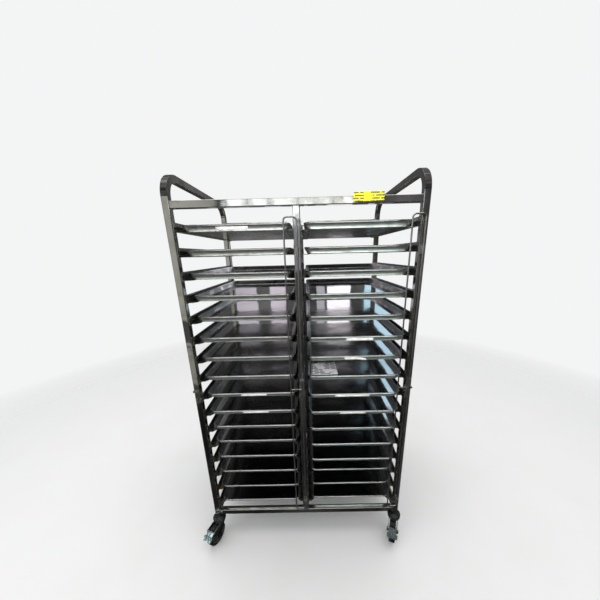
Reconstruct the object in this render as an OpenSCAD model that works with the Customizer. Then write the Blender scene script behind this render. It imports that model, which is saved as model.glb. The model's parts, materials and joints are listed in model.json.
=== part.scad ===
// Double-column sheet pan rack on swivel casters, loaded with one pan per tier.
// Millimetres, +Z up, front towards -Y. The origin is on the floor under the middle of the frame.

/* [Frame] */
// Width over the outer faces of the corner posts
rack_w = 920; // [880:10:1000]
// Depth over the outer faces of the corner posts
rack_d = 640; // [630:10:700]
// Side of the square tube
tube = 25; // [25:1:30]
// Wall of the square tube
tube_wall = 1.5; // [1.2:0.1:2]
// Outer corner radius of the square tube
tube_corner = 2.5; // [1:0.5:3]
// Underside of the frame above the floor
frame_bottom = 150; // [150:1:160]
// Underside of the front and rear top bars
top_bar_z = 1564; // [1560:1:1566]
// Top of the side hoops
hoop_top = 1687; // [1680:1:1720]
// Centreline bend radius of the side hoops
bend_r = 72; // [60:1:75]
// Height at which the upper frame plugs into the lower frame
joint_z = 862; // [858:1:866]

/* [Tiers] */
// Tiers in each column
tiers = 16; // [8:1:16]
// Height from one tier to the next
tier_pitch = 86; // [82:0.5:87]
// Height of the top pan's rim
top_rim_z = 1514; // [1510:1:1516]
// Width of a runner's ledge
ledge_w = 30; // [25:1:32]
// Height of a runner's web
web_h = 34; // [30:1:36]
// Thickness of the runner sheet
runner_sheet = 1.5; // [1.2:0.1:2]
// Lead-in chamfer on a ledge's free corners
lead_in = 14; // [8:1:20]

/* [Pans] */
// Width of a pan over its rim
pan_w = 400; // [395:1:402]
// Length of a pan over its rim
pan_l = 600; // [560:10:600]
// Height of a pan
pan_h = 25; // [20:1:28]
// How far each wall leans out between floor and rim
pan_flare = 10; // [6:1:12]
// Corner radius at the rim
pan_corner = 30; // [24:1:40]
// Thickness of the pan sheet
pan_sheet = 1.2; // [1:0.1:1.5]
// Radius of the rolled rim
bead_r = 2.5; // [2:0.1:3]

/* [Stops] */
// Diameter of the stop wire
stop_rod = 6; // [5:0.5:6]
// Reach of a stop from its hinge leg to its outer leg
stop_reach = 46; // [40:1:50]
// Top of the stop's wire centreline
stop_top_z = 1527; // [1480:1:1535]
// Bottom of the stop's wire centreline
stop_bottom_z = 197; // [190:1:200]
// Bend radius of the stop wire's corners
stop_bend = 13; // [10:1:15]

/* [Casters] */
// Wheel diameter
wheel_d = 100; // [95:1:100]
// Wheel width
wheel_w = 30; // [26:1:32]
// Distance from the swivel axis to the axle
trail = 35; // [32:1:36]
// Heading of the front casters' wheels, turned from straight forwards
front_heading = 22; // [0:1:40]

/* [Hidden] */
$fn = 48;
play = 0.2;                                  // gap between a pan and its ledge
post_x = rack_w / 2 - tube / 2;              // centreline of the corner posts
post_y = rack_d / 2 - tube / 2;
bay_centre = (rack_w / 2 - tube + tube / 2) / 2;
runner_l = rack_d - 6;                       // web length, stopping just short of the post faces
ledge_l = rack_d - 2 * tube;                 // ledge length between the posts
spigot_l = 94;
bolt_z = joint_z - 17;                       // thumb bolts that lock the spigots
stop_y = rack_d / 2 + 8;                     // plane of the stop hinges, off the post faces
lug_zs = [228, 883, 1409];                   // centre heights of a stop's three hinge lugs
tie_z = 857;
wheel_r = wheel_d / 2;
axle_r = 4.95;
leg_x = 19;                                  // inner face of a fork leg
leg_t = 2.5;
crown_z = wheel_d + 4;                       // underside of the fork crown
crown_t = 14;
pedal_pin = [trail + 28, wheel_d - 4];       // pedal pivot: distance from the swivel axis, height

// Distance from the rack's front face to each pan's front rim, from the top tier down
left_inset = [25, 25, 27, 32, 35, 23, 23, 20, 23, 20, 29, 35, 32, 28, 21, 17];
right_inset = [25, 24, 19, 12, 4, 1, 8, 2, 2, 1, 1, 1, 2, 27, 27, 24];

function two_digits(i) = str(i < 10 ? "0" : "", i);
function pan_name(side, i) = str("pan_", side, "_", two_digits(i));
function rim_z(i) = top_rim_z - (i - 1) * tier_pitch;
function ledge_z(i) = rim_z(i) - pan_h - play;

CORNERS = ["front_left", "front_right", "rear_left", "rear_right"];

// ---- square tube ----

module rounded_square(side, r) {
    square([side, side - 2 * r], center = true);
    square([side - 2 * r, side], center = true);
    for (sx = [-1, 1], sy = [-1, 1])
        translate([sx * (side / 2 - r), sy * (side / 2 - r)]) circle(r);
}

module tube_section() {
    difference() {
        rounded_square(tube, tube_corner);
        square(tube - 2 * tube_wall, center = true);
    }
}

module tube_z(length) {
    linear_extrude(length) tube_section();
}

module tube_x(length) {
    rotate([0, 90, 0]) linear_extrude(length, center = true) tube_section();
}

module tube_y(length) {
    rotate([90, 0, 0]) linear_extrude(length, center = true) tube_section();
}

// ---- frame ----

// One side hoop: two upper corner posts and the top rail, bent from one tube
module hoop(sx) {
    rail_z = hoop_top - tube / 2;
    bend_z = rail_z - bend_r;
    color("gainsboro") translate([sx * post_x, 0, 0]) {
        for (sy = [-1, 1])
            translate([0, sy * post_y, joint_z]) tube_z(bend_z - joint_z);
        for (start = [-90, 0])
            translate([0, (start == 0 ? 1 : -1) * (post_y - bend_r), bend_z])
                rotate([0, -90, 0]) rotate([0, 0, start])
                    rotate_extrude(angle = 90) translate([bend_r, 0]) tube_section();
        translate([0, 0, rail_z]) tube_y(2 * (post_y - bend_r));
    }
}

// A short post with a hole for its thumb bolt, which enters from direction turn
module post_below_joint(bottom_z, turn) {
    difference() {
        translate([0, 0, bottom_z]) tube_z(joint_z - bottom_z);
        translate([0, 0, bolt_z]) rotate([0, 0, turn]) rotate([0, 90, 0]) cylinder(h = tube, r = 3.1);
    }
}

module at_corner_posts() {
    for (sx = [-1, 1], sy = [-1, 1])
        translate([sx * post_x, sy * post_y, 0]) rotate([0, 0, sx > 0 ? 0 : 180]) children();
}

module at_centre_posts() {
    for (sy = [-1, 1])
        translate([0, sy * post_y, 0]) rotate([0, 0, -sy * 90]) children();
}

// Lower halves of the four corner posts and the two centre posts
module lower_posts() {
    color("dimgray") {
        at_corner_posts() post_below_joint(frame_bottom, 0);
        at_centre_posts() post_below_joint(frame_bottom + tube, 0);
    }
}

module upper_centre_posts() {
    color("gainsboro") at_centre_posts()
        translate([0, 0, joint_z]) tube_z(top_bar_z - joint_z);
}

// Inner plugs that line up the two halves of each post
module spigot() {
    side = tube - 2 * tube_wall - 0.2;
    difference() {
        translate([-side / 2, -side / 2, joint_z - spigot_l / 2]) cube([side, side, spigot_l]);
        translate([0, 0, bolt_z]) rotate([0, 90, 0]) cylinder(h = tube, r = 3.1);
    }
}

module joint_spigots() {
    color("silver") {
        at_corner_posts() spigot();
        at_centre_posts() spigot();
    }
}

// Thumb bolt: shank through the post wall into the spigot, round head outside
module joint_bolt() {
    translate([2, 0, bolt_z]) rotate([0, 90, 0]) {
        cylinder(h = tube / 2 - 2, r = 3);
        translate([0, 0, tube / 2 - 2]) cylinder(h = 9, r = 5.5);
        translate([0, 0, tube / 2 + 7]) cylinder(h = 1.2, r1 = 5.5, r2 = 4.5);
    }
}

module joint_bolts() {
    color("darkgray") {
        at_corner_posts() joint_bolt();
        at_centre_posts() joint_bolt();
    }
}

module top_bars() {
    color("gainsboro") for (sy = [-1, 1])
        translate([0, sy * post_y, top_bar_z + tube / 2]) tube_x(rack_w - 2 * tube);
}

// Front and rear base bars, and the two side rails between the corner posts
module base_bars() {
    color("dimgray") translate([0, 0, frame_bottom + tube / 2]) {
        for (sy = [-1, 1]) translate([0, sy * post_y, 0]) tube_x(rack_w - 2 * tube);
        for (sx = [-1, 1]) translate([sx * post_x, 0, 0]) tube_y(rack_d - 2 * tube);
    }
}

// ---- runners ----

// One angle runner, web on the plane x = 0 and ledge towards +X with its top at z = 0
module runner() {
    translate([0, -runner_l / 2, -runner_sheet]) cube([runner_sheet, runner_l, web_h]);
    translate([0, 0, -runner_sheet]) linear_extrude(runner_sheet) polygon([
        [0, -ledge_l / 2],
        [ledge_w - lead_in, -ledge_l / 2],
        [ledge_w, -ledge_l / 2 + lead_in],
        [ledge_w, ledge_l / 2 - lead_in],
        [ledge_w - lead_in, ledge_l / 2],
        [0, ledge_l / 2]
    ]);
}

// A stack of runners on the face at x = face_x, with ledges towards the sign of inward
module runner_stack(face_x, inward) {
    color("lightgray") for (i = [1:tiers])
        translate([face_x, 0, ledge_z(i)]) rotate([0, 0, inward > 0 ? 0 : 180]) runner();
}

// ---- pans ----

// Wall and rolled rim in section: x runs outwards from the corner's centre, y is height
module pan_wall_section() {
    rim_in = pan_corner - 2 * bead_r;
    foot = rim_in - pan_flare;
    polygon([
        [foot - 2, 0],
        [foot, 0],
        [rim_in + pan_sheet, pan_h - bead_r],
        [rim_in, pan_h - bead_r],
        [foot - pan_sheet / 2, pan_sheet],
        [foot - 2, pan_sheet]
    ]);
    translate([pan_corner - bead_r, pan_h - bead_r]) circle(bead_r);
}

module pan_floor() {
    r = pan_corner - 2 * bead_r - pan_flare - 1;
    half_w = pan_w / 2 - pan_corner;
    half_l = pan_l / 2 - pan_corner;
    linear_extrude(pan_sheet) {
        square([2 * half_w, 2 * (half_l + r)], center = true);
        square([2 * (half_w + r), 2 * half_l], center = true);
        for (sx = [-1, 1], sy = [-1, 1]) translate([sx * half_w, sy * half_l]) circle(r);
    }
}

module pan_wall_run(length) {
    rotate([90, 0, 0]) linear_extrude(length, center = true) pan_wall_section();
}

module pan_shape() {
    half_w = pan_w / 2 - pan_corner;
    half_l = pan_l / 2 - pan_corner;
    pan_floor();
    for (turn = [0, 180]) {
        rotate([0, 0, turn]) translate([half_w, 0, 0]) pan_wall_run(2 * half_l);
        rotate([0, 0, turn + 90]) translate([half_l, 0, 0]) pan_wall_run(2 * half_w);
        rotate([0, 0, turn]) translate([half_w, half_l, 0]) rotate_extrude(angle = 90) pan_wall_section();
        rotate([0, 0, turn]) translate([half_w, -half_l, 0])
            rotate([0, 0, -90]) rotate_extrude(angle = 90) pan_wall_section();
    }
}

// The pan on tier i of the column on side sx, its front rim inset from the rack's front face
module pan(sx, i, inset) {
    color("lightsteelblue")
        translate([sx * bay_centre, -rack_d / 2 + inset + pan_l / 2, rim_z(i) - pan_h]) pan_shape();
}

// ---- pan stops ----

module rod_corner() {
    rotate_extrude(angle = 90) translate([stop_bend, 0]) circle(stop_rod / 2);
}

// Closed wire loop in the XZ plane: hinge leg on x = 0, outer leg at x = stop_reach
module stop_loop() {
    r = stop_rod / 2;
    leg = stop_top_z - stop_bottom_z - 2 * stop_bend;
    rung = stop_reach - 2 * stop_bend;
    for (x = [0, stop_reach]) translate([x, 0, stop_bottom_z + stop_bend]) cylinder(h = leg, r = r);
    for (z = [stop_bottom_z, stop_top_z])
        translate([stop_bend, 0, z]) rotate([0, 90, 0]) cylinder(h = rung, r = r);
    translate([0, 0, tie_z]) rotate([0, 90, 0]) cylinder(h = stop_reach, r = r - 0.5);
    translate([stop_bend, 0, stop_bottom_z + stop_bend]) rotate([90, 0, 0]) rotate([0, 0, 180]) rod_corner();
    translate([stop_reach - stop_bend, 0, stop_bottom_z + stop_bend])
        rotate([90, 0, 0]) rotate([0, 0, -90]) rod_corner();
    translate([stop_reach - stop_bend, 0, stop_top_z - stop_bend]) rotate([90, 0, 0]) rod_corner();
    translate([stop_bend, 0, stop_top_z - stop_bend]) rotate([90, 0, 0]) rotate([0, 0, 90]) rod_corner();
}

// A stop hinged at (x, y) with its outer leg towards direction turn
module stop(x, y, turn) {
    color("silver") translate([x, y, 0]) rotate([0, 0, turn]) stop_loop();
}

// Hinge lug: an eye on a small plate against the post's face, which lies towards +Y
module lug() {
    h = 30;
    face = stop_y - rack_d / 2;
    translate([0, 0, -h / 2]) difference() {
        union() {
            cylinder(h = h, r = 6);
            translate([-4, 0, 0]) cube([8, face - 2, h]);
            translate([-9, face - 2, 0]) cube([18, 2, h]);
        }
        translate([0, 0, -1]) cylinder(h = h + 2, r = stop_rod / 2 + 0.08);
    }
}

module lug_set(x, sy) {
    for (z = lug_zs)
        translate([x, sy * stop_y, z]) rotate([0, 0, sy < 0 ? 0 : 180]) lug();
}

module stop_lugs() {
    color("silver") {
        lug_set(0, -1);
        lug_set(post_x, -1);
        lug_set(0, 1);
        lug_set(-post_x, 1);
    }
}

// ---- casters, in a frame on the swivel axis with the wheel trailing towards -Y ----

// Fixed head: expander stem in the post, neck, upper race and kingpin
module caster_head() {
    race_z = crown_z + crown_t + 0.3;
    translate([0, 0, frame_bottom]) cylinder(h = 38, r = 10.5);
    rotate_extrude() polygon([
        [0, frame_bottom],
        [15, frame_bottom],
        [15, frame_bottom - 4],
        [9, frame_bottom - 4],
        [9, race_z + 14],
        [17, race_z + 11],
        [27, race_z + 7],
        [31, race_z + 3],
        [31, race_z],
        [0, race_z]
    ]);
    translate([0, 0, crown_z - 1]) cylinder(h = crown_t + 3, r = 5.95);
    translate([0, 0, crown_z - 4]) cylinder(h = 3.7, r = 9);
}

// Side plate of the fork in the YZ plane: from the crown down to the axle
module fork_leg(pedal) {
    ear = pedal ? pedal_pin : [trail, crown_z - 6];
    rotate([90, 0, 90]) linear_extrude(leg_t) difference() {
        union() {
            polygon([
                [22, crown_z + 1],
                [14, crown_z - 8],
                [-trail + 11, wheel_r - 2],
                [-trail - 11, wheel_r - 2],
                [-ear[0] + 2, ear[1] - 7],
                [-ear[0], ear[1] + 7],
                [-20, crown_z + 1]
            ]);
            translate([-trail, wheel_r]) circle(12);
            if (pedal) translate([-ear[0], ear[1]]) circle(7);
        }
        translate([-trail, wheel_r]) circle(5);
        if (pedal) translate([-ear[0], ear[1]]) circle(3);
    }
}

// Fork: crown with lower race, two legs, and the axle bolt with its nut
module fork(pedal) {
    difference() {
        union() {
            translate([0, 0, crown_z + 3]) cylinder(h = crown_t - 3, r = 30);
            translate([-leg_x - leg_t, -20, crown_z]) cube([2 * (leg_x + leg_t), 42, 4]);
        }
        translate([0, 0, crown_z - 1]) cylinder(h = crown_t + 2, r = 6);
    }
    for (x = [-leg_x - leg_t, leg_x]) translate([x, 0, 0]) fork_leg(pedal);
    translate([-leg_x - leg_t, -trail, wheel_r]) rotate([0, 90, 0]) {
        cylinder(h = 2 * (leg_x + leg_t), r = axle_r);
        translate([0, 0, -5.5]) cylinder(h = 5.5, r = 8.5, $fn = 6);
        translate([0, 0, 2 * (leg_x + leg_t)]) cylinder(h = 7, r = 8.5, $fn = 6);
    }
}

// Wheel: tyre, dished web and hub moulded in one, turning on the axle bolt
module wheel() {
    half = wheel_w / 2;
    hub = leg_x - 1;
    translate([0, -trail, wheel_r]) rotate([0, 90, 0]) rotate_extrude($fn = 72) polygon([
        [axle_r + 0.08, -hub],
        [12, -hub],
        [13, -8],
        [wheel_r - 14, -8],
        [wheel_r - 12, -half + 1],
        [wheel_r - 5, -half],
        [wheel_r - 1, -half + 4],
        [wheel_r, 0],
        [wheel_r - 1, half - 4],
        [wheel_r - 5, half],
        [wheel_r - 12, half - 1],
        [wheel_r - 14, 8],
        [13, 8],
        [12, hub],
        [axle_r + 0.08, hub]
    ]);
}

// Tread plate of the pedal, its free edge at y = 0 with rounded corners
module tread(width, depth, r) {
    linear_extrude(3) {
        translate([-width / 2, r]) square([width, depth - r]);
        translate([-width / 2 + r, 0]) square([width - 2 * r, depth]);
        for (side = [-1, 1]) translate([side * (width / 2 - r), r]) circle(r);
    }
}

// Brake pedal: two cheeks on a cross pin, a bridge between them and a broad tread ahead of the wheel
module pedal() {
    reach = 32;
    cheek_x = leg_x - 0.8;
    cheek_t = 2;
    translate([0, -pedal_pin[0], pedal_pin[1]]) {
        translate([-leg_x - leg_t - 3, 0, 0]) rotate([0, 90, 0]) cylinder(h = 2 * (leg_x + leg_t + 3), r = 2.92);
        for (x = [-cheek_x, cheek_x - cheek_t])
            translate([x, 0, 0]) rotate([90, 0, 90]) linear_extrude(cheek_t) union() {
                circle(6);
                polygon([[-2, 5.6], [-reach, -13], [-reach, -20], [-3, -5]]);
            }
        translate([-cheek_x, 0, 0]) rotate([90, 0, 90]) linear_extrude(2 * cheek_x)
            polygon([[-5, 3.8], [-23, -7.4], [-23, -9.8], [-5, 1.4]]);
        translate([-cheek_x, -21, -4.6]) rotate([0, 90, 0]) cylinder(h = 2 * cheek_x, r = 2);
        translate([0, -reach - 4, -17]) rotate([32, 0, 0]) tread(48, 20, 7);
    }
}

// Where each caster stands: position of its swivel axis and the way its wheel trails
function caster_x(c) = (c == "front_left" || c == "rear_left") ? -post_x : post_x;
function caster_y(c) = (c == "front_left" || c == "front_right") ? -post_y : post_y;
function caster_turn(c) = caster_y(c) < 0 ? -front_heading : 180 - front_heading;

module at_caster(c) {
    translate([caster_x(c), caster_y(c), 0]) rotate([0, 0, caster_turn(c)]) children();
}

module caster_heads() {
    color("gray") for (c = CORNERS) at_caster(c) caster_head();
}

// ---- nodes ----

hoop(-1);  // left_hoop
hoop(1);  // right_hoop
lower_posts();
upper_centre_posts();
joint_spigots();
joint_bolts();
top_bars();
base_bars();
runner_stack(-rack_w / 2 + tube, 1);  // left_outer_runners
runner_stack(-tube / 2, -1);  // left_centre_runners
runner_stack(tube / 2, 1);  // right_centre_runners
runner_stack(rack_w / 2 - tube, -1);  // right_outer_runners
stop_lugs();
stop(0, -stop_y, 180);  // front_centre_stop
stop(post_x, -stop_y, 180);  // front_right_stop
stop(0, stop_y, 90);  // rear_centre_stop
stop(-post_x, stop_y, 90);  // rear_left_stop
caster_heads();
for (c = CORNERS) {
    braked = caster_y(c) < 0;
    color("silver") at_caster(c) fork(braked);
    color("darkslategray") at_caster(c) wheel();
    if (braked) color("lightcyan") at_caster(c) pedal();
}
for (i = [1:tiers]) {
    pan(-1, i, left_inset[i - 1]);
    pan(1, i, right_inset[i - 1]);
}
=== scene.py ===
"""Looks of the sheet pan rack: materials, detailed pieces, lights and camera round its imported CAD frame."""

import json
import math
import random

import bmesh
import bpy
from mathutils import Matrix, Vector, noise

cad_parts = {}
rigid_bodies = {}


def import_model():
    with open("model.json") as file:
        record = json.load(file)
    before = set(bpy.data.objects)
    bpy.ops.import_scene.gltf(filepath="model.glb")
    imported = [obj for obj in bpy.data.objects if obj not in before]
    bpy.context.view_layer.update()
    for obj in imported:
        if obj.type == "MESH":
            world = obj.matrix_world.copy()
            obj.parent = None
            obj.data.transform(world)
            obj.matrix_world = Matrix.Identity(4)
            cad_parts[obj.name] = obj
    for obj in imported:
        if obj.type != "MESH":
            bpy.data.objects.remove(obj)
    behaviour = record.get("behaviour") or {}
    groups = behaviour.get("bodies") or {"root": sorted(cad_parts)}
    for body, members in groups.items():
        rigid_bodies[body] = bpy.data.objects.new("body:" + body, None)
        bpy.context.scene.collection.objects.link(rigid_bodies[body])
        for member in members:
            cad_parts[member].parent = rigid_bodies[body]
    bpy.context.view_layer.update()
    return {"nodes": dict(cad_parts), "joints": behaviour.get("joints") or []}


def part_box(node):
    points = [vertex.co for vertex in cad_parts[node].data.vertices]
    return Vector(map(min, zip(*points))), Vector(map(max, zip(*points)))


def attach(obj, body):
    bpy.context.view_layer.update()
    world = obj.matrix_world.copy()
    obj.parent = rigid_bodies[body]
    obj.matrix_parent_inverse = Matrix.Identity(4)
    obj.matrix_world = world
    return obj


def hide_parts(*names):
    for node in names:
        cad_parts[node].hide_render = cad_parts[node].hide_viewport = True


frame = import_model()

MM = 0.001
CORNERS = ("front_left", "front_right", "rear_left", "rear_right")
BRAKED = ("front_left", "front_right")
JOINTS = {joint["name"]: joint for joint in frame["joints"]}
PANS = sorted(name for name in frame["nodes"] if name.startswith("pan_"))


# ---- materials ----

# The Mix node's colour sockets, which share their names with its other sockets
MIX_LOW = 6
MIX_HIGH = 7
MIX_RESULT = 2
STEEL = (0.62, 0.62, 0.61)
SMEARED_STEEL = (0.48, 0.46, 0.40)
RUBBED_STEEL = (0.78, 0.78, 0.76)
MID_JOINT = 0.855


def set_range(node, numbers):
    """Sets a Map Range node to take from..to over to to_low..to_high."""
    for socket, number in zip(("From Min", "From Max", "To Min", "To Max"), numbers):
        node.inputs[socket].default_value = number


class Shader:
    """One Principled material, patterned in the piece's own coordinates, so that it rides with its piece."""

    def __init__(self, name, metallic=0.0, roughness=0.5, specular=0.5):
        self.material = bpy.data.materials.new(name)
        self.material.use_nodes = True
        self.nodes = self.material.node_tree.nodes
        self.links = self.material.node_tree.links
        self.principled = self.nodes["Principled BSDF"]
        self.place = self.nodes.new("ShaderNodeTexCoord").outputs["Object"]
        self.principled.inputs["Metallic"].default_value = metallic
        self.principled.inputs["Roughness"].default_value = roughness
        self.principled.inputs["Specular IOR Level"].default_value = specular

    def feed(self, socket, value):
        """Links value to a socket, or sets it where it is a plain number or colour."""
        if isinstance(value, bpy.types.NodeSocket):
            self.links.new(value, socket)
        else:
            socket.default_value = value

    def stretched(self, stretch):
        """The piece's coordinates, drawn out along the axes where stretch is small."""
        mapping = self.nodes.new("ShaderNodeMapping")
        mapping.inputs["Scale"].default_value = stretch
        self.links.new(self.place, mapping.inputs["Vector"])
        return mapping.outputs["Vector"]

    def noise(self, scale, stretch=(1, 1, 1), detail=3.0, distortion=0.0):
        """Soft noise, scale features to the metre."""
        pattern = self.nodes.new("ShaderNodeTexNoise")
        self.links.new(self.stretched(stretch), pattern.inputs["Vector"])
        pattern.inputs["Scale"].default_value = scale
        pattern.inputs["Detail"].default_value = detail
        pattern.inputs["Distortion"].default_value = distortion
        return pattern.outputs["Fac"]

    def cells(self, scale, stretch):
        """Distance to the nearest cell edge of a Voronoi pattern, for scratches."""
        pattern = self.nodes.new("ShaderNodeTexVoronoi")
        pattern.feature = "DISTANCE_TO_EDGE"
        self.links.new(self.stretched(stretch), pattern.inputs["Vector"])
        pattern.inputs["Scale"].default_value = scale
        return pattern.outputs["Distance"]

    def span(self, value, low, high, to_low=0.0, to_high=1.0):
        """Maps value from low..high to to_low..to_high, held at the ends."""
        ranged = self.nodes.new("ShaderNodeMapRange")
        self.feed(ranged.inputs["Value"], value)
        set_range(ranged, (low, high, to_low, to_high))
        return ranged.outputs["Result"]

    def calculate(self, operation, a, b=0):
        """Two values joined by an operation of the Math node."""
        node = self.nodes.new("ShaderNodeMath")
        node.operation = operation
        self.feed(node.inputs[0], a)
        self.feed(node.inputs[1], b)
        return node.outputs["Value"]

    def add(self, a, b):
        return self.calculate("ADD", a, b)

    def times(self, a, b):
        return self.calculate("MULTIPLY", a, b)

    def blend(self, factor, low, high):
        """Colour low where factor is 0 and high where it is 1."""
        node = self.nodes.new("ShaderNodeMix")
        node.data_type = "RGBA"
        self.feed(node.inputs["Factor"], factor)
        self.feed(node.inputs[MIX_LOW], (*low, 1) if isinstance(low, tuple) else low)
        self.feed(node.inputs[MIX_HIGH], (*high, 1) if isinstance(high, tuple) else high)
        return node.outputs[MIX_RESULT]

    def axis(self, name):
        """One coordinate of the piece, in metres."""
        split = self.nodes.new("ShaderNodeSeparateXYZ")
        self.links.new(self.place, split.inputs["Vector"])
        return split.outputs[name]

    def bump(self, height, depth, under=None):
        """Normal from a height pattern whose full swing is depth millimetres, laid over another normal."""
        node = self.nodes.new("ShaderNodeBump")
        node.inputs["Strength"].default_value = 1.0
        node.inputs["Distance"].default_value = depth * MM
        self.links.new(height, node.inputs["Height"])
        if under is not None:
            self.links.new(under, node.inputs["Normal"])
        return node.outputs["Normal"]

    def finish(self, colour, roughness, normal):
        """The material, once its colour, its roughness where it isn't constant, and its normal are fed."""
        for socket, value in (("Base Color", colour), ("Roughness", roughness), ("Normal", normal)):
            if value is not None:
                self.feed(self.principled.inputs[socket], value)
        return self.material


GRAIN = {"x": (0.03, 1, 1), "y": (1, 0.03, 1), "z": (1, 1, 0.03)}


def polish(shader, grain):
    """What polished tubes share: fine grain along the tube, smears from handling, and the colour of both."""
    streaks = shader.noise(900, GRAIN[grain], 2)
    smears = shader.noise(14, detail=5, distortion=0.6)
    tint = shader.blend(shader.span(smears, 0.42, 0.75), STEEL, SMEARED_STEEL)
    return streaks, smears, tint


def polished_tube(grain, wave_depth):
    """Polished stainless tube with slow waves in its walls."""
    shader = Shader(f"polished_tube_{grain}", metallic=1.0)
    streaks, smears, tint = polish(shader, grain)
    dull = shader.add(shader.span(smears, 0.48, 0.72, 0.05, 0.18), shader.span(streaks, 0.3, 0.7, 0, 0.04))
    waves = shader.bump(shader.noise(20, detail=1), wave_depth)
    return shader.finish(tint, dull, shader.bump(streaks, 0.02, waves))


def worn_post():
    """Polished tube of the posts, rubbed pale and matt in patches round the mid-height joints."""
    shader = Shader("worn_post", metallic=1.0)
    streaks, smears, tint = polish(shader, "z")
    from_joint = shader.calculate("ABSOLUTE", shader.add(shader.axis("Z"), -MID_JOINT))
    patches = shader.span(shader.noise(55, (1, 1, 0.5), 5), 0.44, 0.52)
    rubbed = shader.times(patches, shader.span(from_joint, 0.03, 0.10, 1, 0))
    dull = shader.add(shader.span(smears, 0.48, 0.72, 0.06, 0.20), shader.span(rubbed, 0, 1, 0, 0.25))
    waves = shader.bump(shader.noise(20, detail=1), 1.2)
    tint = shader.blend(rubbed, tint, RUBBED_STEEL)
    return shader.finish(tint, dull, shader.bump(streaks, 0.02, waves))


def runner_sheet():
    """Folded stainless sheet of the runners, browned by old residue in patches, with painted shade darkening
    them at the ends, most on the low ones.
    """
    shader = Shader("runner_sheet", metallic=1.0)
    streaks = shader.noise(700, GRAIN["y"], 2)
    # Painted shade: the runners are browned darker at their ends, where they meet the posts, and more so low
    # in the rack.
    shade_at_ends = shader.span(shader.calculate("ABSOLUTE", shader.axis("Y")), 0.25, 0.31)
    painted_low_shade = shader.span(shader.axis("Z"), 0.2, 0.9, 0.16, 0.02)
    patches = shader.add(shader.noise(9, (1, 1, 2), 6, 0.4), shader.times(shade_at_ends, painted_low_shade))
    residue_and_shade = shader.span(patches, 0.55, 0.72)
    tint = shader.blend(residue_and_shade, (0.56, 0.56, 0.54), (0.30, 0.24, 0.15))
    dull = shader.add(shader.span(streaks, 0.3, 0.7, 0.16, 0.30), shader.span(residue_and_shade, 0, 1, 0, 0.25))
    waves = shader.bump(shader.noise(16, detail=1), 1.0)
    return shader.finish(tint, dull, shader.bump(streaks, 0.03, waves))


def drawn_wire():
    """Drawn stainless wire, with a faint grain and duller rubbed stretches."""
    shader = Shader("drawn_wire", metallic=1.0)
    streaks = shader.noise(1500, GRAIN["z"], 2)
    rubbed = shader.noise(20, (1, 1, 0.5), 4)
    tint = shader.blend(shader.span(rubbed, 0.4, 0.65), (0.80, 0.80, 0.79), (0.62, 0.61, 0.58))
    dull = shader.add(shader.span(rubbed, 0.4, 0.65, 0.24, 0.38), shader.span(streaks, 0.3, 0.7, 0, 0.08))
    return shader.finish(tint, dull, shader.bump(streaks, 0.03))


def weld_metal():
    """Weld bead: rippled steel, straw and blue from the heat."""
    shader = Shader("weld_metal", metallic=1.0)
    heat = shader.noise(220, detail=3)
    tint = shader.blend(shader.span(heat, 0.35, 0.65), (0.52, 0.46, 0.36), (0.34, 0.36, 0.42))
    ripples = shader.bump(shader.noise(1400), 0.2)
    return shader.finish(tint, shader.span(heat, 0.3, 0.7, 0.28, 0.45), ripples)


def zinc_plate():
    """Zinc-plated pressed steel of the casters: cloudy passivation and patches of dust, with painted shade
    turning it near black low down.
    """
    shader = Shader("zinc_plate", metallic=1.0)
    cloud = shader.noise(60, detail=5)
    # Painted shade: the forks turn near black towards their bottoms by the floor, and the cloud adds patches
    # of dust.
    painted_low_shade = shader.span(shader.axis("Z"), 0.08, 0.106, 0.7, 0)
    dust = shader.add(painted_low_shade, shader.span(cloud, 0.4, 0.7, 0, 0.4))
    tint = shader.blend(shader.span(dust, 0.1, 0.9), (0.56, 0.58, 0.59), (0.13, 0.125, 0.12))
    return shader.finish(tint, shader.span(cloud, 0.3, 0.7, 0.22, 0.42), shader.bump(cloud, 0.3))


def head_cover():
    """Blackened cover of the caster heads, greasy, with grey wear where it has been knocked."""
    shader = Shader("head_cover", specular=0.4)
    wear = shader.noise(70, detail=6, distortion=0.3)
    tint = shader.blend(shader.span(wear, 0.55, 0.75), (0.016, 0.016, 0.018), (0.08, 0.08, 0.08))
    return shader.finish(tint, shader.span(wear, 0.35, 0.7, 0.30, 0.55), shader.bump(wear, 0.2))


def pedal_plate():
    """Plate of the brake pedals, its brighter teal-white colour a painted reflection, bare where shoes have
    rubbed it.
    """
    shader = Shader("pedal_plate", metallic=1.0)
    scuffs = shader.noise(120, (1, 0.3, 1), 5)
    # Painted reflection: the pale teal of the plate stands for the light its top mirrors, and the scuffs
    # darken it.
    tint = shader.blend(shader.span(scuffs, 0.42, 0.6), (0.62, 0.74, 0.74), (0.33, 0.38, 0.39))
    return shader.finish(tint, shader.span(scuffs, 0.4, 0.62, 0.20, 0.42), shader.bump(scuffs, 0.2))


def tyre_rubber():
    """Black rubber, greyed by floor dust in patches and scuffed on the tread."""
    shader = Shader("tyre_rubber", specular=0.35)
    dust = shader.noise(45, detail=6, distortion=0.5)
    tint = shader.blend(shader.span(dust, 0.48, 0.75), (0.012, 0.012, 0.013), (0.085, 0.08, 0.072))
    fine = shader.noise(900, detail=2)
    return shader.finish(tint, shader.span(dust, 0.3, 0.7, 0.55, 0.85), shader.bump(fine, 0.2))


def hub_plastic():
    """Dark moulded nylon of the wheel centres."""
    shader = Shader("hub_plastic")
    cloud = shader.noise(80, detail=4)
    tint = shader.blend(shader.span(cloud, 0.4, 0.7), (0.035, 0.036, 0.038), (0.075, 0.072, 0.068))
    pores = shader.bump(shader.noise(1200), 0.1)
    return shader.finish(tint, shader.span(cloud, 0.3, 0.7, 0.38, 0.6), pores)


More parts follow.
